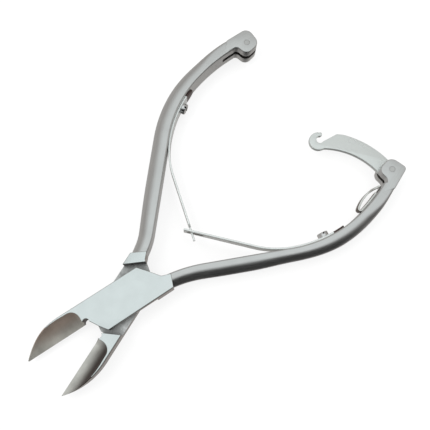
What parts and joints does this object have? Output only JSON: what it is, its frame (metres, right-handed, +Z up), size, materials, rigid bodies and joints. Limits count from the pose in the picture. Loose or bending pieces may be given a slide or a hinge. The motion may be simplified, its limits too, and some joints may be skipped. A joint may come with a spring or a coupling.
{
  "type": "nail nipper",
  "caption": "Cantilever nail nipper with crossed half-lapped levers, interlocked leaf springs and a swinging lock hook.",
  "frame": {"origin": "on the pivot axis, in the plane the nipper rests on", "axes": "+X from the pivot towards the handles along the line between them, +Z up along the pivot axis"},
  "size_m": [0.1325, 0.0829, 0.008],
  "materials": {
    "satin_steel": "satin",
    "polished_steel": "polished",
    "spring_steel": "polished"
  },
  "bodies": {
    "front_lever": {"front_lever": "satin_steel", "pivot_screw": "polished_steel", "front_leaf_spring": "spring_steel", "front_spring_screw": "polished_steel", "hook_pivot_pin": "polished_steel", "hook_spring": "spring_steel"},
    "rear_lever": {"rear_lever": "satin_steel", "rear_leaf_spring": "spring_steel", "rear_spring_screw": "polished_steel", "catch_pin": "polished_steel"},
    "lock_hook": {"lock_hook": "satin_steel"}
  },
  "joints": [
    {"name": "lever_pivot", "type": "hinge", "parent": "front_lever", "child": "rear_lever", "pos_m": [0, 0, 0], "axis": [0, 0, 1], "range_deg": [-24.7, 0], "deforming": ["front_leaf_spring", "rear_leaf_spring"]},
    {"name": "hook_pivot", "type": "hinge", "parent": "front_lever", "child": "lock_hook", "pos_m": [0.0942, -0.0341, 0], "axis": [0, 0, 1], "range_deg": [-30.4, 64]}
  ]
}
